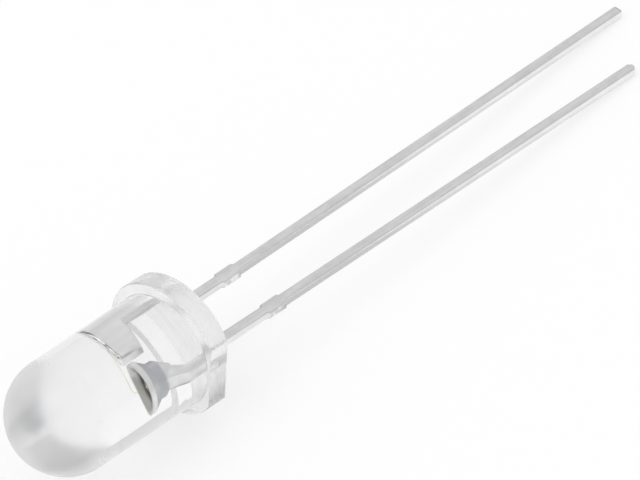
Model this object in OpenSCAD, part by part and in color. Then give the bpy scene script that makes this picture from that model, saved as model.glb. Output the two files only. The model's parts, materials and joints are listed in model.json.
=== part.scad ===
// Through-hole light-emitting diode, 5 mm round body with a water-clear lens.
// Each piece is drawn in the diode's own frame, in millimetres: the axis of the lens runs along X with the
// dome at -X, the back of the flange lies at X = 0 and the leads run to +X, the anode at +Y, the cathode at -Y.
// The whole diode is then laid on the ground as it comes to rest: on the rim of its flange and both lead tips.

/* [Lens] */
// Diameter of the moulded barrel
barrel_d = 5; // [4.6:0.05:5.4]
// Height of the moulding from the back of the flange to the tip of the dome
body_h = 9; // [8.4:0.05:12]
// Diameter of the flange
flange_d = 5.95; // [5.7:0.05:7]
// Thickness of the flange
flange_t = 0.95; // [0.7:0.05:1.5]
// Distance from the axis to the flat that marks the cathode side
flat_offset = 2.57; // [2.5:0.01:2.8]
// Rounding of the flange's front edge
flange_round = 0.1; // [0.02:0.01:0.25]

/* [Leads] */
// Thickness of the strip that both halves of the lead frame are stamped from
strip_t = 0.42; // [0.35:0.01:0.5]
// Width of a lead
lead_w = 0.44; // [0.35:0.01:0.55]
// Distance between the middles of the leads where they leave the lens
lead_pitch = 2.54; // [2.4:0.01:2.7]
// Outward drift of each lead between its stub and its tip, as the pair springs apart when it is cut loose
lead_drift = 0.13; // [0:0.01:0.5]
// Length of the anode lead behind the flange
anode_l = 27.1; // [15:0.1:32]
// Length of the cathode lead behind the flange
cathode_l = 25; // [14:0.1:30]
// Bevel at the sheared tips
tip_bevel = 0.07; // [0.02:0.01:0.12]

/* [Tie-bar stubs] */
// Distance from the flange to the stubs of the sheared tie-bar
stub_from = 3.5; // [1.5:0.1:6]
// Length of a stub along its lead
stub_l = 1.08; // [0.6:0.02:2]
// Width across a lead and its two stubs
stub_w = 0.62; // [0.58:0.01:0.9]
// Bevel at the ends of a stub
stub_bevel = 0.08; // [0.02:0.01:0.12]

/* [Cathode head] */
// Distance from the lens axis to the axis of the reflector cup, towards the cathode
cup_offset = 0.72; // [0.68:0.01:0.76]
// Height of the cup's rim above the back of the flange
rim_h = 3.6; // [3.5:0.05:4]
// Outside diameter of the coined head at its rim
head_d = 1.54; // [1.48:0.01:1.56]
// Height of the straight band below the rim
band_h = 0.24; // [0.1:0.01:0.3]
// Height of the flare between the neck and the band
flare_h = 0.42; // [0.3:0.01:0.5]
// Diameter of the round neck under the cup
neck_d = 1.06; // [0.9:0.01:1.2]
// Height of the straight part of the neck
neck_h = 0.3; // [0.1:0.01:0.5]
// Height of the cone that runs the neck out into the strip
runout_h = 0.7; // [0.4:0.01:0.8]
// Height at which the cathode lead starts to lean in towards the cup
foot_h = 1.4; // [0.5:0.05:1.6]
// Width of the strip where it enters the neck
web_w = 0.72; // [0.6:0.01:0.74]

/* [Reflector cup] */
// Diameter of the cup at its rim
cup_rim_d = 1.34; // [1.2:0.01:1.4]
// Diameter of the cup's floor
cup_floor_d = 0.72; // [0.66:0.01:0.8]
// Depth of the cup
cup_depth = 0.36; // [0.25:0.01:0.4]

/* [Anode head] */
// Height of the cup's rim above the end of the anode head
post_drop = 0.02; // [0:0.01:0.4]
// Height of the step where the anode lead widens into its head
step_h = 1.98; // [1.6:0.02:2.3]
// How much nearer to the dome the back of the anode head is at its inner side
step_slant = 0.36; // [0:0.02:0.6]
// Distance from the lens axis to the near side of the head
post_near = 0.33; // [0.3:0.01:0.4]
// Distance from the lens axis to the far side of the head
post_far = 1.56; // [1.5:0.01:1.7]
// Bevel at the corners of the head
post_bevel = 0.1; // [0.02:0.01:0.14]

/* [Die and bond] */
// Side of the square die
die_side = 0.3; // [0.25:0.01:0.36]
// Thickness of the die
die_t = 0.12; // [0.08:0.01:0.18]
// Diameter of the spot of conductive adhesive under the die
glue_d = 0.5; // [0.46:0.01:0.54]
// Thickness of the adhesive
glue_t = 0.02; // [0.01:0.005:0.04]
// Diameter of the bond wire
wire_d = 0.03; // [0.02:0.005:0.04]
// Diameter of the ball bond on the die
ball_d = 0.09; // [0.07:0.005:0.11]
// Height of the ball bond
ball_h = 0.035; // [0.03:0.005:0.05]
// Height that the wire stands upright above the ball
wire_rise = 0.46; // [0.4:0.01:0.6]
// Radius of the bend at the top of the wire's loop
loop_r = 0.18; // [0.1:0.01:0.22]
// Distance from the near side of the anode head to the stitch bond
stitch_in = 0.42; // [0.36:0.01:0.5]
// Diameter of the stitch bond
stitch_d = 0.1; // [0.08:0.005:0.12]
// Thickness of the stitch bond
stitch_t = 0.02; // [0.018:0.001:0.03]

/* [Hidden] */
$fn = 96;

barrel_r = barrel_d / 2;
flange_r = flange_d / 2;
half_w = lead_w / 2;
lead_y = lead_pitch / 2;

// How far a cut runs on past the surface that it opens through
cut_past = 0.2;

// Heights of the stack in the cup, above the back of the flange
cup_floor_h = rim_h - cup_depth;
die_floor_h = cup_floor_h + glue_t;
die_top_h = die_floor_h + die_t;

// Heights at which the two heads change their form
post_h = rim_h - post_drop;
flare_from_h = rim_h - band_h - flare_h;
neck_from_h = flare_from_h - neck_h;

// The wire leaves the ball upright, bends over and runs straight to the stitch
stitch_y = post_near + stitch_in;
bend_h = die_top_h + ball_h + wire_rise;
reach_y = stitch_y + cup_offset - loop_r;
drop = post_h + wire_d / 2 - bend_h;
span = norm([reach_y, drop]);
fall = atan2(drop, reach_y) - asin(loop_r / span);
straight_l = sqrt(span * span - loop_r * loop_r);

// At rest the rim of the flange and the lower corner of each tip touch the ground. The longer lead lifts its side,
// so the diode rolls by roll about its axis, and its axis falls to the tips by tilt.
stagger = (anode_l - cathode_l) / (2 * (lead_y + lead_drift));
function rest_sine(s, n) = n == 0 ? s : rest_sine(
    (flange_r * sqrt(1 - s * s) - strip_t / 2 * sqrt(1 - s * s * (1 + stagger * stagger)))
    / (anode_l - stagger * (lead_y + lead_drift - half_w)), n - 1);
tilt = asin(rest_sine(0.1, 12));
roll = asin(stagger * tan(tilt));

// The origin lies under the middle of the whole diode
flat_corner = acos(flat_offset / flange_r);
reach_front = -(body_h - barrel_r) * cos(tilt) - barrel_r;
reach_back = anode_l * cos(tilt)
    + sin(tilt) * (sin(roll) * (lead_y + lead_drift + half_w) + cos(roll) * strip_t / 2);
reach_left = flange_r;
reach_right = -flange_r * cos(max(flat_corner - roll, 0));

module laid() {
    translate([-(reach_front + reach_back) / 2, -(reach_left + reach_right) / 2, flange_r * cos(tilt)])
        rotate([0, tilt, 0])
            rotate([roll, 0, 0])
                children();
}

// Stands a shape drawn with its height along Z up on the flange's back, towards the dome
module upright() {
    rotate([0, -90, 0]) children();
}

// One side of a lead from its tip to the lens: side is 1 for the outer side and -1 for the inner one
function lead_side(l, side) =
    let (bend = stub_from + stub_l, mid = function(x) lead_y + lead_drift * (x - bend) / (l - bend))
    [
        [l, mid(l) + side * (half_w - tip_bevel)],
        [l - tip_bevel, mid(l) + side * half_w],
        [bend, lead_y + side * half_w],
        [bend - stub_bevel, lead_y + side * stub_w / 2],
        [stub_from + stub_bevel, lead_y + side * stub_w / 2],
        [stub_from, lead_y + side * half_w],
        [0, lead_y + side * half_w]
    ];

function reversed(list) = [for (i = [len(list) - 1 : -1 : 0]) list[i]];

// A stamped half of the lead frame: the lead and, inside the lens, a head whose outline is given
module stamped(l, head) {
    translate([0, 0, -strip_t / 2])
        linear_extrude(strip_t)
            polygon(concat(lead_side(l, 1), head, reversed(lead_side(l, -1))));
}

// Moves what stands on the flange's back over to the axis of the cup
module at_cup() {
    upright() translate([0, -cup_offset, 0]) children();
}

module cathode_frame() {
    color("gainsboro")
        difference() {
            union() {
                mirror([0, 1, 0])
                    stamped(cathode_l, [
                        [-foot_h, lead_y + half_w],
                        [-neck_from_h, cup_offset + web_w / 2],
                        [-flare_from_h, cup_offset + web_w / 2],
                        [-flare_from_h, cup_offset - web_w / 2],
                        [-neck_from_h, cup_offset - web_w / 2],
                        [-foot_h, lead_y - half_w]
                    ]);
                // The round head is coined: its neck runs out into the strip and flares out to the rim
                at_cup()
                    rotate_extrude()
                        polygon([
                            [0, neck_from_h - runout_h],
                            [strip_t / 2, neck_from_h - runout_h],
                            [neck_d / 2, neck_from_h],
                            [neck_d / 2, flare_from_h],
                            [head_d / 2, rim_h - band_h],
                            [head_d / 2, rim_h],
                            [0, rim_h]
                        ]);
            }
            // The bowl of the cup: its cone runs on at the same slope past the rim
            at_cup()
                translate([0, 0, cup_floor_h])
                    cylinder(
                        h = cup_depth + cut_past,
                        d1 = cup_floor_d,
                        d2 = cup_floor_d + (cup_rim_d - cup_floor_d) * (cup_depth + cut_past) / cup_depth
                    );
        }
}

module anode_frame() {
    color("gainsboro")
        stamped(anode_l, [
            [-step_h, lead_y + half_w],
            [-step_h - post_bevel, post_far],
            [-post_h + post_bevel, post_far],
            [-post_h, post_far - post_bevel],
            [-post_h, post_near + post_bevel],
            [-post_h + post_bevel, post_near],
            [-step_h - step_slant, post_near],
            [-step_h, lead_y - half_w]
        ]);
}

module die_adhesive() {
    color("silver")
        at_cup()
            translate([0, 0, cup_floor_h])
                cylinder(h = glue_t, d = glue_d);
}

module die() {
    color("darkslategray")
        at_cup()
            translate([-die_side / 2, -die_side / 2, die_floor_h])
                cube([die_side, die_side, die_t]);
}

// A straight run of the wire that leaves the bend along its tangent
module wire_run(l) {
    translate([loop_r, 0, 0])
        rotate([-90, 0, 0])
            cylinder(h = l, d = wire_d);
}

module bond_wire() {
    color("gold") {
        at_cup() {
            translate([0, 0, die_top_h])
                cylinder(h = ball_h, d = ball_d);
            // The loop lies in one plane, drawn about the middle of its bend
            translate([0, loop_r, bend_h])
                rotate([90, 0, -90]) {
                    mirror([0, 1, 0])
                        wire_run(wire_rise + ball_h / 2);
                    rotate_extrude(angle = 90 - fall)
                        translate([loop_r, 0]) circle(d = wire_d);
                    rotate([0, 0, 90 - fall])
                        wire_run(straight_l);
                }
        }
        upright()
            translate([0, stitch_y, post_h])
                cylinder(h = stitch_t, d = stitch_d);
    }
}

module moulding() {
    rotate([0, -90, 0]) {
        rotate_extrude() {
            square([barrel_r, body_h - barrel_r]);
            translate([0, body_h - barrel_r])
                intersection() {
                    circle(r = barrel_r);
                    square(barrel_r);
                }
        }
        difference() {
            rotate_extrude() {
                square([flange_r - flange_round, flange_t]);
                square([flange_r, flange_t - flange_round]);
                translate([flange_r - flange_round, flange_t - flange_round])
                    circle(r = flange_round);
            }
            // The flat that marks the cathode side
            translate([-flange_r - cut_past, -flange_r - cut_past, -cut_past])
                cube([flange_d + 2 * cut_past, flange_r + cut_past - flat_offset, flange_t + 2 * cut_past]);
        }
    }
}

module lens() {
    color([0.93, 0.96, 0.98, 0.4])
        difference() {
            moulding();
            cathode_frame();
            anode_frame();
            die_adhesive();
            die();
            bond_wire();
        }
}

laid() lens();
laid() cathode_frame();
laid() anode_frame();
laid() die();
laid() die_adhesive();
laid() bond_wire();
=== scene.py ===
import json
import math

import bmesh
import bpy
import numpy as np
from mathutils import Euler, Matrix, Vector


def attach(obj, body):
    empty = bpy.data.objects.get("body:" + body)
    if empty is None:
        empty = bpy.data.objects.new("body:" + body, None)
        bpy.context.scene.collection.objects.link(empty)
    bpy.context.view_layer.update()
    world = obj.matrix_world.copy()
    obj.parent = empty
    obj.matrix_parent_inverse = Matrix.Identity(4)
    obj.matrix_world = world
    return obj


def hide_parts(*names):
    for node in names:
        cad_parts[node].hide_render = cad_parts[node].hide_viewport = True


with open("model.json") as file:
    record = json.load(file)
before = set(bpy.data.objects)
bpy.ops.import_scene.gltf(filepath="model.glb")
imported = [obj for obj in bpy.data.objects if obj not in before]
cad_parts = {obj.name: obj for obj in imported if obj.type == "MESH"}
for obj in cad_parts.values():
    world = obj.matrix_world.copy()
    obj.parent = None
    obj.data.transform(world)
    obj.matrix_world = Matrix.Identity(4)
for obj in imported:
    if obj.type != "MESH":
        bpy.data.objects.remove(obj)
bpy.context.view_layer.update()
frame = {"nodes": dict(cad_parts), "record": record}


# ---- How the diode lies --------------------------------------------------------------------------
# A clear 5 mm diode thrown on a bench rests on its flange's rim and both tips, so it slopes, and it
# is rolled a little, as the anode lead is the longer. Pieces are worked out in its own frame in mm:
# X to the tips, Y to the anode side, Z up through the strip, from the middle of the flange's back.

mm = 0.001
anode_l, cathode_l, lead_y, lead_drift = 27.1, 25.0, 1.27, 0.13

flange_back = next(m for m in frame["record"]["mounts"] if m["name"] == "flange_back")
back_at = Vector(flange_back["pos_m"])
tilt = math.asin(-flange_back["axis"][2])
roll = math.asin((anode_l - cathode_l) / (2 * (lead_y + lead_drift)) * math.tan(tilt))
turn = Euler((roll, tilt, 0.0), "XYZ")


def laid(points):
    """Points of the diode's frame in mm, put where they lie in metres: turned by roll and tilt,
    then moved to the back of the flange."""
    return np.asarray(points, float) @ np.array(turn.to_matrix()).T * mm + np.array(back_at)


def node(tree, kind, **inputs):
    """A shader node of the given kind. A socket, named in_ and its name or number, is given a
    value or another node's output to link to; any other name is a setting of the node."""
    made = tree.nodes.new(kind)
    for name, value in inputs.items():
        if not name.startswith("in_"):
            setattr(made, name, value)
            continue
        key = name[3:].replace("_", " ")
        socket = made.inputs[int(key)] if key.isdigit() else made.inputs[key]
        if isinstance(value, bpy.types.NodeSocket):
            tree.links.new(value, socket)
        else:
            socket.default_value = value
    return made


def group(name, takes, gives):
    """An empty shader node group with named sockets, its input node and its output node."""
    tree = bpy.data.node_groups.new(name, "ShaderNodeTree")
    for label, kind, start in takes:
        socket = tree.interface.new_socket(label, in_out="INPUT", socket_type=kind)
        socket.default_value = start
    for label, kind in gives:
        tree.interface.new_socket(label, in_out="OUTPUT", socket_type=kind)
    return tree, tree.nodes.new("NodeGroupInput"), tree.nodes.new("NodeGroupOutput")


# Every material reads its place in the diode's own millimetres, and the way the surface faces in
# the same frame
own_frame, _, own_out = group(
    "Diode millimetres", [], [("Place", "NodeSocketVector"), ("Facing", "NodeSocketVector")]
)
own_place = node(
    own_frame, "ShaderNodeMapping", vector_type="TEXTURE",
    in_Vector=node(own_frame, "ShaderNodeTexCoord").outputs["Object"],
    in_Location=back_at, in_Rotation=turn, in_Scale=(mm,) * 3,
)
own_facing = node(
    own_frame, "ShaderNodeMapping", vector_type="TEXTURE",
    in_Vector=node(own_frame, "ShaderNodeNewGeometry").outputs["Normal"],
    in_Location=(0.0,) * 3, in_Rotation=turn, in_Scale=(1.0,) * 3,
)
own_frame.links.new(own_place.outputs[0], own_out.inputs["Place"])
own_frame.links.new(own_facing.outputs[0], own_out.inputs["Facing"])


# ---- Bench and light -----------------------------------------------------------------------------
# A plain white bench top under one large soft lamp and even light from all round. The bench looks
# white to the eye, to the plated metal and through the clear lens, and keeps the diode's shadow.

floor_half, floor_grey, floor_glow = 0.6, 0.33, 0.68
grain_scale, grain_depth = 900.0, 0.99
low_sky, higher_sky = 0.68, ((0.12, 0.70), (0.35, 0.74), (0.75, 0.80))
lamp_size, lamp_power, lamp_at = 0.36, 0.55, (-0.30, 0.05, 0.45)
turns_in_epoxy = 32
sight, seen_width, film = 0.8, 0.025553, 36.0
aim_across, aim_up, nearest, farthest = 5.5918, 3.9229, 0.01, 5.0


def maths(tree, operation, a, b=0.5, c=0.5):
    """The output of one Math node."""
    return node(tree, "ShaderNodeMath", operation=operation, in_0=a, in_1=b, in_2=c).outputs[0]


def grey(level):
    """A plain grey as a colour socket takes it."""
    return (level, level, level, 1.0)


def mixed(tree, factor, first, second):
    """The colour output of a Mix node. A plain number stands for that grey."""
    first, second = (grey(v) if isinstance(v, float) else v for v in (first, second))
    return node(
        tree, "ShaderNodeMix", data_type="RGBA", in_0=factor, in_6=first, in_7=second
    ).outputs[2]


def xyz(tree, vector):
    """The X, Y and Z of a vector."""
    return node(tree, "ShaderNodeSeparateXYZ", in_0=vector).outputs


def noise(tree, place, scale, detail, roughness=0.5):
    """Noise from 0 to 1 at a place."""
    return node(
        tree, "ShaderNodeTexNoise", in_Vector=place,
        in_Scale=scale, in_Detail=detail, in_Roughness=roughness,
    ).outputs["Fac"]


def new_finish(name, **plain):
    """A new material, its tree and its Principled BSDF, whose named sockets hold plain values."""
    made = bpy.data.materials.new(name)
    made.use_nodes = True
    bsdf = made.node_tree.nodes["Principled BSDF"]
    for label, value in plain.items():
        bsdf.inputs[label.replace("_", " ")].default_value = value
    return made, made.node_tree, bsdf


def feed(tree, bsdf, **sources):
    """Node outputs linked to the named sockets of a Principled BSDF."""
    for label, source in sources.items():
        tree.links.new(source, bsdf.inputs[label.replace("_", " ")])


floor_mesh = bpy.data.meshes.new("bench")
corners = np.array([(-1.0, -1, 0), (1, -1, 0), (1, 1, 0), (-1, 1, 0)]) * floor_half
floor_mesh.from_pydata(corners.tolist(), [], [(0, 1, 2, 3)])
floor = bpy.data.objects.new("bench", floor_mesh)
bpy.context.collection.objects.link(floor)

bench, tree, bsdf = new_finish(
    "bench_top", Roughness=0.9, Specular_IOR_Level=0.0, Emission_Color=grey(1.0)
)
grain = noise(tree, node(tree, "ShaderNodeTexCoord").outputs["Object"], grain_scale, 2.0)
ray = node(tree, "ShaderNodeLightPath").outputs
seen = maths(tree, "MAXIMUM", ray["Is Camera Ray"], ray["Is Glossy Ray"])
seen = maths(tree, "MAXIMUM", seen, ray["Is Transmission Ray"])
feed(
    tree, bsdf, Base_Color=mixed(tree, grain, floor_grey * grain_depth, floor_grey),
    Emission_Strength=maths(tree, "MULTIPLY", seen, floor_glow),
)
floor_mesh.materials.append(bench)

# The room is brightest overhead and dims to the horizon, which gives the polished faces their greys
world = bpy.data.worlds.new("studio")
bpy.context.scene.world = world
world.use_nodes = True
tree = world.node_tree
around_us = node(tree, "ShaderNodeTexCoord").outputs["Generated"]
sky = node(tree, "ShaderNodeValToRGB", in_Fac=xyz(tree, around_us)[2])
for place, level in higher_sky:
    sky.color_ramp.elements.new(place).color = grey(level)
sky.color_ramp.elements[0].color = grey(low_sky)
tree.links.new(sky.outputs[0], tree.nodes["Background"].inputs["Color"])

lamp_data = bpy.data.lights.new("soft_box", "AREA")
lamp_data.shape, lamp_data.size, lamp_data.size_y = "RECTANGLE", lamp_size, lamp_size
lamp_data.energy = lamp_power
lamp = bpy.data.objects.new("soft_box", lamp_data)
lamp.location = lamp_at
lamp.rotation_euler = (-lamp.location).to_track_quat("-Z", "Y").to_euler()
bpy.context.collection.objects.link(lamp)

# Light turns back inside clear epoxy many times before it leaves, and each turn is a bounce
light = bpy.context.scene.cycles
light.max_bounces = light.glossy_bounces = light.transmission_bounces = turns_in_epoxy

# The eye stands far off, as with a long lens, to the left of the dome and above it. Its three
# directions are squared up by cross products.
across = Vector((0.69214, -0.72077, 0.03779))
upward = Vector((0.46286, 0.48344, 0.743))
toward = across.cross(upward).normalized()
upward = toward.cross(across).normalized()
across = upward.cross(toward).normalized()
aim = aim_across * across + aim_up * upward
camera_data = bpy.data.cameras.new("camera")
camera_data.sensor_width = film
camera_data.lens = film * sight / seen_width
camera_data.clip_start, camera_data.clip_end = nearest, farthest
camera = bpy.data.objects.new("camera", camera_data)
axes = turn.to_matrix() @ Matrix((across, upward, toward)).transposed()
eye = Vector(laid([aim])[0]) + axes @ Vector((0, 0, sight))
camera.matrix_world = Matrix.Translation(eye) @ axes.to_4x4()
bpy.context.collection.objects.link(camera)
bpy.context.scene.camera = camera
bpy.context.scene.view_settings.view_transform = "Standard"


# ---- Lead frame ----------------------------------------------------------------------------------
# Both halves are stamped from one iron strip. Inside the lens the strip is silver plated and the
# cup is coined into the cathode's head; outside it is tinned. The tin and the punch leave the long
# edges a little round.

strip_t, lead_w = 0.42, 0.44
stub_from, stub_l, stub_w = 3.5, 1.08, 0.62
cup_offset, rim_h, cup_depth, cup_rim_d, band_h, post_drop = 0.72, 3.6, 0.36, 1.34, 0.24, 0.02
edge_round, edge_steps, upright_share = 0.085, 3, 0.42
# Where the rounding of the long edges starts, and where each tip ends and how far it is cut back
round_from = {"cathode_frame": -1.45, "anode_frame": -rim_h}
tips = {"cathode_frame": (cathode_l, 0.15), "anode_frame": (anode_l, 0.07)}
silver, silver_dull, tin, tin_dull = 0.90, 0.84, 0.80, 0.70
# Painted light on the punched sides outside the lens, plain and where worn
side_painted_light, side_painted_light_worn = 0.91, 0.85
cut_bright, cut_dull = 0.93, 0.66
# Painted shade on the rounded long edges outside the lens, and how much of it is mixed in
edge_painted_shade, edge_shade_share = 0.55, 0.25
# The tip burr's light and dark, then the dark of the streaks along the end of the anode's head
tip_burr_light, tip_burr_dark, head_streak_dark = 0.5, 0.1, 0.08
# Painted shade on the cup's flare, the rim's grey, then painted reflection and shade in the bowl
cone_painted_shade, rim_grey = (0.59, 0.60, 0.63, 1.0), 0.62
cup_painted_reflection, cup_painted_shade = (0.50, 0.50, 0.48, 1.0), (0.035, 0.033, 0.024, 1.0)
smooth_plate, worn_plate = 0.29, 0.37


def own_points(points):
    """Points in metres as they lie, given back in the diode's frame in mm: laid() undone."""
    return (np.asarray(points, float) - np.array(back_at)) @ np.array(turn.to_matrix()) / mm


def eased_strip(name):
    """A copy of one stamped half, its doubles merged and its flat faces joined. The tip's corners
    are cut back along both sides. Each edge whose two ends lie on the same face of the strip,
    |z| = half the strip, gets a round of edge_round, and the upright edges of the tip a smaller
    one, by their weights."""
    tip_at, tip_cut = tips[name]
    shell = bmesh.new()
    shell.from_mesh(frame["nodes"][name].data)
    bmesh.ops.remove_doubles(shell, verts=shell.verts, dist=1e-7)
    bmesh.ops.dissolve_limit(
        shell, angle_limit=math.radians(0.6), verts=shell.verts, edges=shell.edges
    )
    mesh = bpy.data.meshes.new(name + "_eased")
    shell.to_mesh(mesh)
    shell.free()
    flat = np.empty(len(mesh.vertices) * 3)
    mesh.vertices.foreach_get("co", flat)
    own = own_points(flat.reshape(-1, 3))
    # The end's own corners go in from the sides by the cut, and the sides' corners back from the
    # end by as much
    near_tip = own[:, 0] > tip_at - 0.2
    end = own[:, 0] > tip_at - 0.01
    middle = math.copysign(lead_y + lead_drift, own[near_tip, 1].mean())
    side = np.sign(own[:, 1] - middle)
    own[end, 1] = (middle + side * (lead_w / 2 - tip_cut))[end]
    own[near_tip & ~end, 0] = tip_at - tip_cut
    mesh.vertices.foreach_set("co", laid(own).ravel())
    ends = np.empty(len(mesh.edges) * 2, int)
    mesh.edges.foreach_get("vertices", ends)
    first, second = own[ends[::2]], own[ends[1::2]]
    nearer = np.minimum(first[:, 0], second[:, 0])
    wide_face = strip_t / 2 - 0.005
    on_face = (np.abs(first[:, 2]) > wide_face) & (np.abs(second[:, 2]) > wide_face)
    on_face &= (first[:, 2] * second[:, 2] > 0) & (nearer > round_from[name])
    upright = np.where(nearer > tip_at - 0.3, tip_cut / edge_round * upright_share, 0.0)
    weight = np.where(on_face, 1.0, upright).astype(np.float32)
    mesh.attributes.new("bevel_weight_edge", "FLOAT", "EDGE").data.foreach_set("value", weight)
    mesh.polygons.foreach_set("use_smooth", np.ones(len(mesh.polygons), bool))
    mesh.set_sharp_from_angle(angle=math.radians(34))
    mesh.update()
    piece = bpy.data.objects.new(name + "_eased", mesh)
    bpy.context.collection.objects.link(piece)
    bevel = piece.modifiers.new("round", "BEVEL")
    bevel.limit_method, bevel.width, bevel.segments = "WEIGHT", edge_round * mm, edge_steps
    bevel.use_clamp_overlap, bevel.harden_normals = True, False
    return piece


def ramped(tree, value, low, high, start=0.0, stop=1.0):
    """A smooth step from start to stop as the value goes from low to high."""
    return node(
        tree, "ShaderNodeMapRange", in_Value=value, interpolation_type="SMOOTHSTEP",
        in_From_Min=low, in_From_Max=high, in_To_Min=start, in_To_Max=stop,
    ).outputs[0]


def unsigned(tree, value):
    """The value without its sign."""
    return maths(tree, "ABSOLUTE", value)


def over(tree, value, level):
    """1 where the value is above the level, else 0."""
    return maths(tree, "GREATER_THAN", value, level)


def under(tree, value, level):
    """1 where the value is below the level, else 0."""
    return maths(tree, "LESS_THAN", value, level)


def product(tree, first, *others):
    """All the values multiplied together, which for masks is where all of them hold."""
    for other in others:
        first = maths(tree, "MULTIPLY", first, other)
    return first


def stretched(tree, place, factors):
    """The place with each of its coordinates multiplied by its own factor."""
    return node(
        tree, "ShaderNodeVectorMath", operation="MULTIPLY", in_0=place, in_1=factors
    ).outputs[0]


def own_sockets(tree):
    """The place and the way the surface faces, both in the diode's own frame."""
    own = node(tree, "ShaderNodeGroup", node_tree=own_frame).outputs
    return own["Place"], own["Facing"]


def raised(tree, bsdf, height, strength, distance):
    """The height as a bump in metres, fed to the Normal of a Principled BSDF."""
    bump = node(
        tree, "ShaderNodeBump", in_Strength=strength, in_Distance=distance, in_Height=height
    )
    feed(tree, bsdf, Normal=bump.outputs[0])


# Masks that follow the strip. Lines are the drawn lines along it, Grain the mottle of its plating,
# Edge its rounded edges outside the lens, which get painted shade, Cut the sheared ends of the
# tips and stubs.
strip_finish, finish_in, finish_out = group(
    "Strip finish",
    [("Place", "NodeSocketVector", (0, 0, 0)), ("Facing", "NodeSocketVector", (0, 0, 0))],
    [(label, "NodeSocketFloat") for label in ("Lines", "Grain", "Edge", "Cut")],
)
place = finish_in.outputs["Place"]
at, faces = xyz(strip_finish, place), xyz(strip_finish, finish_in.outputs["Facing"])
outside = over(strip_finish, at[0], 0.02)
sideways, upright = unsigned(strip_finish, faces[1]), unsigned(strip_finish, faces[2])
flatness = maths(strip_finish, "MAXIMUM", sideways, upright)
off_axis = unsigned(strip_finish, at[1])
off_lead = unsigned(strip_finish, maths(strip_finish, "SUBTRACT", off_axis, lead_y))
tip_end = product(strip_finish, over(strip_finish, faces[0], 0.7), over(strip_finish, at[0], 20.0))
stub_end = product(
    strip_finish, over(strip_finish, off_lead, stub_w / 2 - 0.012),
    under(strip_finish, at[0], stub_from + stub_l), outside,
)
for label, value in (
    ("Lines", noise(strip_finish, stretched(strip_finish, place, (0.4, 5.0, 5.0)), 1.0, 2.0)),
    ("Grain", noise(strip_finish, place, 2.2, 5.0, 0.55)),
    ("Edge", product(strip_finish, ramped(strip_finish, flatness, 0.80, 0.97, 1.0, 0.0), outside)),
    ("Cut", maths(strip_finish, "MAXIMUM", tip_end, stub_end)),
):
    strip_finish.links.new(value, finish_out.inputs[label])


def off_cup_axis(tree, at):
    """The distance from the cup's axis: the root of the sum of both squares."""
    off_y = maths(tree, "ADD", at[1], cup_offset)
    squares = maths(tree, "ADD", product(tree, off_y, off_y), product(tree, at[2], at[2]))
    return maths(tree, "POWER", squares, 0.5)


def cup_tones(tree, at, colour):
    """The cathode's cup is a polished bowl that would mirror mostly the dark crystal and itself:
    this is painted as reflection and shade that darken with depth. The flare behind its band gets
    painted shade, and its rim is duller than the strip."""
    depth, off = maths(tree, "ADD", at[0], rim_h), off_cup_axis(tree, at)
    flare = product(
        tree, ramped(tree, depth, band_h - 0.02, band_h + 0.03),
        ramped(tree, depth, band_h + 0.95, band_h + 0.75),
    )
    # Painted shade on the flare behind the band
    colour = mixed(tree, flare, colour, cone_painted_shade)
    bowl = product(
        tree, under(tree, off, cup_rim_d / 2 - 0.002), over(tree, depth, 0.004),
        under(tree, depth, cup_depth + 0.01),
    )
    # Painted reflection and shade in the bowl, darker with depth
    deep = ramped(tree, depth, 0.15, cup_depth - 0.03)
    colour = mixed(tree, bowl, colour, mixed(tree, deep, cup_painted_reflection, cup_painted_shade))
    rim = product(tree, under(tree, depth, 0.004), over(tree, off, cup_rim_d / 2 - 0.002))
    return mixed(tree, rim, colour, rim_grey)


def head_end_streaks(tree, place, at, colour):
    """The end of the anode's head is sheared. Near it, dark streaks broken up by noise run along
    both of its edges.
    """
    depth = maths(tree, "ADD", at[0], rim_h - post_drop)
    near_face = ramped(tree, unsigned(tree, at[2]), strip_t / 2 - 0.14, strip_t / 2 - 0.04)
    streak_noise = noise(tree, stretched(tree, place, (20.0, 4.5, 12.0)), 1.0, 4.0)
    streak_mask = product(
        tree, ramped(tree, depth, 0.22, 0.08), near_face, ramped(tree, streak_noise, 0.49, 0.55)
    )
    return mixed(tree, streak_mask, colour, head_streak_dark)


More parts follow.
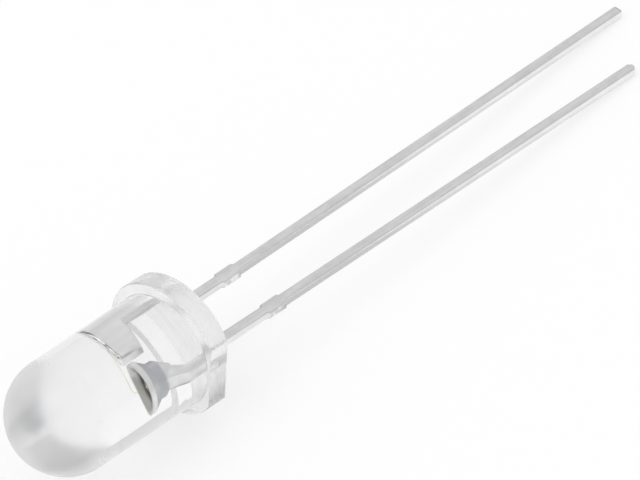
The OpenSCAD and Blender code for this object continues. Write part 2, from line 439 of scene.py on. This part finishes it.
def plated_strip(name):
    """Silver inside the lens and tin outside it, mottled and lined along the strip. Outside the
    lens the punched sides are painted lighter than the wide faces, and the rounded long edges get
    painted shade. The sheared ends are mottled, and the very end of the longer lead has a burr.
    The cathode's cup gets painted reflection and shade, and the anode head's end dark streaks."""
    made, tree, bsdf = new_finish(name + "_plating", Metallic=1.0)
    place, facing = own_sockets(tree)
    at, faces = xyz(tree, place), xyz(tree, facing)
    masks = node(
        tree, "ShaderNodeGroup", node_tree=strip_finish, in_Place=place, in_Facing=facing
    ).outputs
    outside = over(tree, at[0], 0.0)
    worn = maths(tree, "MULTIPLY_ADD", masks["Lines"], 0.55, product(tree, masks["Grain"], 0.45))
    worn = ramped(tree, worn, 0.36, 0.64)
    bright = mixed(tree, outside, silver, tin)
    dull = mixed(tree, outside, silver_dull, tin_dull)
    colour = mixed(tree, worn, bright, dull)
    # Painted light: the punched sides outside the lens are coloured lighter than the wide faces
    beside = product(tree, outside, ramped(tree, unsigned(tree, faces[1]), 0.75, 0.95))
    colour = mixed(tree, beside, colour, mixed(tree, worn, side_painted_light, side_painted_light_worn))
    # Painted shade on the rounded long edges outside the lens
    colour = mixed(tree, product(tree, masks["Edge"], edge_shade_share), colour, edge_painted_shade)
    burr = ramped(tree, masks["Grain"], 0.42, 0.60)
    colour = mixed(tree, masks["Cut"], colour, mixed(tree, burr, cut_bright, cut_dull))
    tip_burr = product(
        tree, ramped(tree, at[0], anode_l - 0.12, anode_l - 0.05), ramped(tree, at[2], 0.12, 0.18)
    )
    colour = mixed(tree, tip_burr, colour, mixed(tree, burr, tip_burr_light, tip_burr_dark))
    if name == "cathode_frame":
        colour = cup_tones(tree, at, colour)
    else:
        colour = head_end_streaks(tree, place, at, colour)
    rough = ramped(tree, worn, 0.0, 1.0, smooth_plate, worn_plate)
    feed(tree, bsdf, Base_Color=colour, Roughness=rough)
    raised(tree, bsdf, worn, 0.08, 0.000006)
    return made


for name in ("cathode_frame", "anode_frame"):
    piece = eased_strip(name)
    piece.data.materials.append(plated_strip(name))
    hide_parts(name)
    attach(piece, "root")


# ---- Die and its adhesive ------------------------------------------------------------------------
# The die is a sawn block of dark crystal with a gold pad on top, stuck to the floor of the cup with
# a spot of silver-filled epoxy, which is grey and grainy.

pad_d = 0.13
crystal_dark, crystal_light = (0.03, 0.032, 0.038, 1.0), (0.10, 0.105, 0.115, 1.0)
pad_gold = (0.95, 0.72, 0.38, 1.0)
paste_dark, paste_light = (0.34, 0.33, 0.31, 1.0), (0.62, 0.61, 0.58, 1.0)


def between(tree, value, low, high):
    """A value from 0 to 1 spread evenly from low to high."""
    return maths(tree, "MULTIPLY_ADD", value, high - low, low)


def die_crystal():
    """Dark crystal: saw marks on the sides, a round gold pad in the middle of the top."""
    made, tree, bsdf = new_finish("die_crystal")
    place, facing = own_sockets(tree)
    off = off_cup_axis(tree, xyz(tree, place))
    on_top = under(tree, xyz(tree, facing)[0], -0.6)
    pad = product(tree, on_top, under(tree, off, pad_d / 2))
    saw = noise(tree, stretched(tree, place, (90.0, 6.0, 6.0)), 1.0, 3.0)
    crystal = mixed(tree, saw, crystal_dark, crystal_light)
    feed(
        tree, bsdf, Base_Color=mixed(tree, pad, crystal, pad_gold), Metallic=pad,
        Roughness=between(tree, saw, 0.2, 0.45),
    )
    raised(tree, bsdf, saw, 0.3, 0.000004)
    return made


def silver_paste():
    """Cured adhesive: flakes of silver in a grey resin, each flake a cell of its own shade."""
    made, tree, bsdf = new_finish("silver_paste", Metallic=0.6, Roughness=0.5)
    place, _ = own_sockets(tree)
    flakes = node(tree, "ShaderNodeTexVoronoi", in_Vector=place, in_Scale=70.0)
    shade = node(tree, "ShaderNodeSeparateColor", in_0=flakes.outputs["Color"]).outputs[0]
    feed(tree, bsdf, Base_Color=mixed(tree, shade, paste_dark, paste_light))
    raised(tree, bsdf, shade, 0.5, 0.000004)
    return made


for name, made in (("die", die_crystal()), ("die_adhesive", silver_paste())):
    frame["nodes"][name].data.materials.clear()
    frame["nodes"][name].data.materials.append(made)


# ---- Bond wire -----------------------------------------------------------------------------------
# A gold wire about as thin as a hair. A ball is melted on its end and pressed on the die's pad, the
# wire is drawn up and over in a loop, and its other end is wedged flat on the anode head.

wire_r, ball_r, ball_h, ball_power = 0.015, 0.045, 0.035, 2.6
wire_rise, loop_r = 0.46, 0.18
stitch_y, stitch_r, stitch_t, stitch_power = 0.75, 0.05, 0.02, 2.2
glue_t, die_t = 0.02, 0.12
die_top = rim_h - cup_depth + glue_t + die_t
gold_deep, gold_pale = (0.93, 0.82, 0.62, 1.0), (0.98, 0.89, 0.72, 1.0)


def skin(rings):
    """Points and faces of a skin over rings[i, j], point j of ring i. Neighbouring rings are joined
    by quads, the last point of a ring to its first, and each end ring is closed by a fan to its own
    middle. The skin looks outward where the points run anticlockwise round the rings, as seen from
    the first ring's side."""
    count, around = rings.shape[:2]
    i, j = np.meshgrid(np.arange(count - 1), np.arange(around), indexing="ij")
    a, b = i * around + j, i * around + (j + 1) % around
    quads = np.stack([b, a, a + around, b + around], -1).reshape(-1, 4)
    edge = np.arange(around)
    middle, end = count * around, (count - 1) * around
    fans = np.concatenate([
        np.stack([edge, np.roll(edge, -1), np.full(around, middle)], -1),
        np.stack([end + np.roll(edge, -1), end + edge, np.full(around, middle + 1)], -1),
    ])
    points = np.concatenate([rings.reshape(-1, 3), [rings[0].mean(0)], [rings[-1].mean(0)]])
    return points, quads, fans


def skinned(name, *parts):
    """An object whose mesh holds the skins of all the given parts, laid where the diode lies."""
    skins = [skin(rings) for rings in parts]
    start = np.cumsum([0] + [len(points) for points, _, _ in skins])
    faces = [(face + first).tolist() for (_, *pair), first in zip(skins, start) for face in pair]
    points = laid(np.concatenate([points for points, _, _ in skins]))
    mesh = bpy.data.meshes.new(name)
    mesh.from_pydata(points.tolist(), [], sum(faces, []))
    mesh.polygons.foreach_set("use_smooth", np.ones(len(mesh.polygons), bool))
    mesh.update()
    piece = bpy.data.objects.new(name, mesh)
    bpy.context.collection.objects.link(piece)
    return piece


def wire_path():
    """Points along the middle of the wire, as (height, y): straight up from the ball, round the
    bend by equal angles, then along the bend's tangent to the stitch."""
    bend_h = die_top + ball_h + wire_rise
    reach, drop = stitch_y + cup_offset - loop_r, rim_h - post_drop + wire_r - bend_h
    fall = math.atan2(drop, reach) - math.asin(loop_r / math.hypot(reach, drop))
    straight = math.sqrt(reach ** 2 + drop ** 2 - loop_r ** 2)
    up = np.linspace(die_top + ball_h * 0.4, bend_h, 12)
    angle = np.linspace(math.pi, math.pi / 2 + fall, 25)
    run = np.linspace(0, straight, 16)[1:]
    bend = np.stack([bend_h + loop_r * np.sin(angle), loop_r + loop_r * np.cos(angle)], -1)
    down = bend[-1] + run[:, None] * np.array([math.sin(fall), math.cos(fall)])
    path = np.concatenate([np.stack([up, 0 * up], -1), bend[1:], down])
    path[:, 1] -= cup_offset
    return path


def wire_rings(around=20):
    """Circles of the wire's radius square to its path, which lies in one plane."""
    path = wire_path()
    ahead = np.gradient(path, axis=0)
    ahead /= np.linalg.norm(ahead, axis=1, keepdims=True)
    angle = np.linspace(0, 2 * np.pi, around, endpoint=False)
    aside = np.stack([-ahead[:, 1], ahead[:, 0]], -1)
    flat = path[:, None] + wire_r * np.cos(angle)[None, :, None] * aside[:, None]
    across = np.broadcast_to(wire_r * np.sin(angle), flat.shape[:2])
    return np.stack([-flat[..., 0], flat[..., 1], across], -1)


def button_rings(height, y, radius, thick, power, around=28, levels=14):
    """A pressed button: as its height goes up by a sine, its radius falls off as the power's root
    of 1 less the height to that power. The last ring is all but closed."""
    rise = np.sin(np.linspace(0, math.pi / 2, levels))
    across = radius * (1 - rise ** power) ** (1 / power)
    across[-1] = radius * 0.02
    angle = np.linspace(0, 2 * np.pi, around, endpoint=False)
    x = np.broadcast_to(-(height + thick * rise)[:, None], (levels, around))
    return np.stack([
        x, y + across[:, None] * np.cos(angle), across[:, None] * np.sin(angle)
    ], -1)


bond_wire = skinned(
    "bond_wire_drawn", wire_rings(),
    button_rings(die_top, -cup_offset, ball_r, ball_h, ball_power),
    button_rings(rim_h - post_drop, stitch_y, stitch_r, stitch_t, stitch_power),
)

gold, tree, bsdf = new_finish("bond_gold", Metallic=1.0)
place, _ = own_sockets(tree)
drawn = noise(tree, place, 40.0, 3.0)
feed(
    tree, bsdf, Base_Color=mixed(tree, drawn, gold_deep, gold_pale),
    Roughness=between(tree, drawn, 0.18, 0.34),
)
bond_wire.data.materials.append(gold)
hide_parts("bond_wire")
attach(bond_wire, "root")


# ---- Lens ----------------------------------------------------------------------------------------
# The lens is clear epoxy, cast round the lead frame in a cup mould, dome down. The mould gives the
# barrel its gloss, the dome a slight milkiness, and the flange its one flat on the cathode side;
# nothing is machined afterwards.

barrel_r, body_h, flange_r, flange_t = 2.5, 9.0, 2.975, 0.95
flat_off, flange_round, root_round = 2.57, 0.1, 0.07
epoxy_bend = 1.53
clear_low, clear_high, milky_low, milky_high = 0.05, 0.09, 0.29, 0.35
pale, less_pale = 0.975, 0.955


def lens_angles(around=288, on_flat=24):
    """The angles of a ring's points, spread evenly over the flat and over the rest. The flat's two
    corners fall on a point each."""
    corner = math.acos(flat_off / flange_r)
    flat = np.linspace(math.pi - corner, math.pi + corner, on_flat, endpoint=False)
    rest = np.linspace(math.pi + corner, 3 * math.pi - corner, around - on_flat, endpoint=False)
    return np.concatenate([flat, rest])


def lens_rings():
    """The moulding as rings of radius r at height h above the flange's back: out along the back, up
    the flange's edge, round its front corner, in to the barrel, up the barrel and over the dome, a
    quarter circle. Where the flat cuts the flange, a ring's radius is the smaller of its own and
    the flat's distance over the cosine of the angle."""
    angle = lens_angles()
    limit = np.where(
        np.cos(angle) < -flat_off / flange_r + 1e-9,
        flat_off / np.maximum(-np.cos(angle), 1e-6), flange_r,
    )
    quarter = np.linspace(0, math.pi / 2, 9)[1:]
    back = np.linspace(0.04, 1, 14)[:, None] * limit[None]
    side_h = np.linspace(0, flange_t - flange_round, 6)[1:]
    side = np.broadcast_to(limit, (len(side_h), len(angle)))
    turn_r = np.minimum(flange_r - flange_round + flange_round * np.cos(quarter)[:, None], limit)
    turn_h = flange_t - flange_round + flange_round * np.sin(quarter)
    inner = barrel_r + root_round
    front = inner + np.linspace(1, 0, 6)[1:, None] * (turn_r[-1][None] - inner)
    root_r = inner - root_round * np.sin(quarter)
    root_h = flange_t + root_round - root_round * np.cos(quarter)
    wall_h = np.linspace(flange_t + root_round, body_h - barrel_r, 22)[1:]
    dome = np.linspace(0, math.pi / 2, 90)[1:]
    dome[-1] = math.pi / 2 - 0.004
    even = np.ones_like(limit)[None]
    radius = np.concatenate([
        back, side, turn_r, front, root_r[:, None] * even,
        np.full((len(wall_h), 1), barrel_r) * even, barrel_r * np.cos(dome)[:, None] * even,
    ])
    height = np.concatenate([
        np.zeros(len(back)), side_h, turn_h, np.full(len(front), flange_t), root_h, wall_h,
        body_h - barrel_r + barrel_r * np.sin(dome),
    ])
    x = np.broadcast_to(-height[:, None], radius.shape)
    return np.stack([x, radius * np.cos(angle), radius * np.sin(angle)], -1)


lens = skinned("lens_cast", lens_rings())
lens.data.set_sharp_from_angle(angle=math.radians(32))

epoxy, tree, bsdf = new_finish("clear_epoxy", Transmission_Weight=1.0, IOR=epoxy_bend)
place, _ = own_sockets(tree)
at = xyz(tree, place)
# The dome of the mould is finely blasted, so it is a little milky; the barrel is clear. The back of
# the flange was the open top of the resin as it set: it is dull.
smudge = noise(tree, place, 0.9, 5.0, 0.6)
clear = ramped(tree, smudge, 0.4, 0.7, clear_low, clear_high)
milky = ramped(tree, smudge, 0.3, 0.7, milky_low, milky_high)
on_dome = ramped(tree, at[0], barrel_r - body_h + 0.9, barrel_r - body_h - 0.7)
on_back = ramped(tree, at[0], -0.004, -0.002)
rough = maths(tree, "MULTIPLY_ADD", on_dome, maths(tree, "SUBTRACT", milky, clear), clear)
rough = maths(tree, "MAXIMUM", rough, product(tree, on_back, milky))
feed(tree, bsdf, Roughness=rough, Base_Color=mixed(tree, smudge, pale, less_pale))
# The moulding ripples faintly all over, and the resin's flow shows in waves on the flange
on_flange = ramped(tree, at[0], -flange_t - 0.02, -flange_t + 0.02)
flow = product(tree, on_flange, noise(tree, place, 1.3, 1.0))
ripple = product(tree, noise(tree, place, 1.6, 2.0), 0.1)
raised(tree, bsdf, maths(tree, "MULTIPLY_ADD", flow, 1.6, ripple), 1.0, 0.00003)
lens.data.materials.append(epoxy)
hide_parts("lens")
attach(lens, "root")
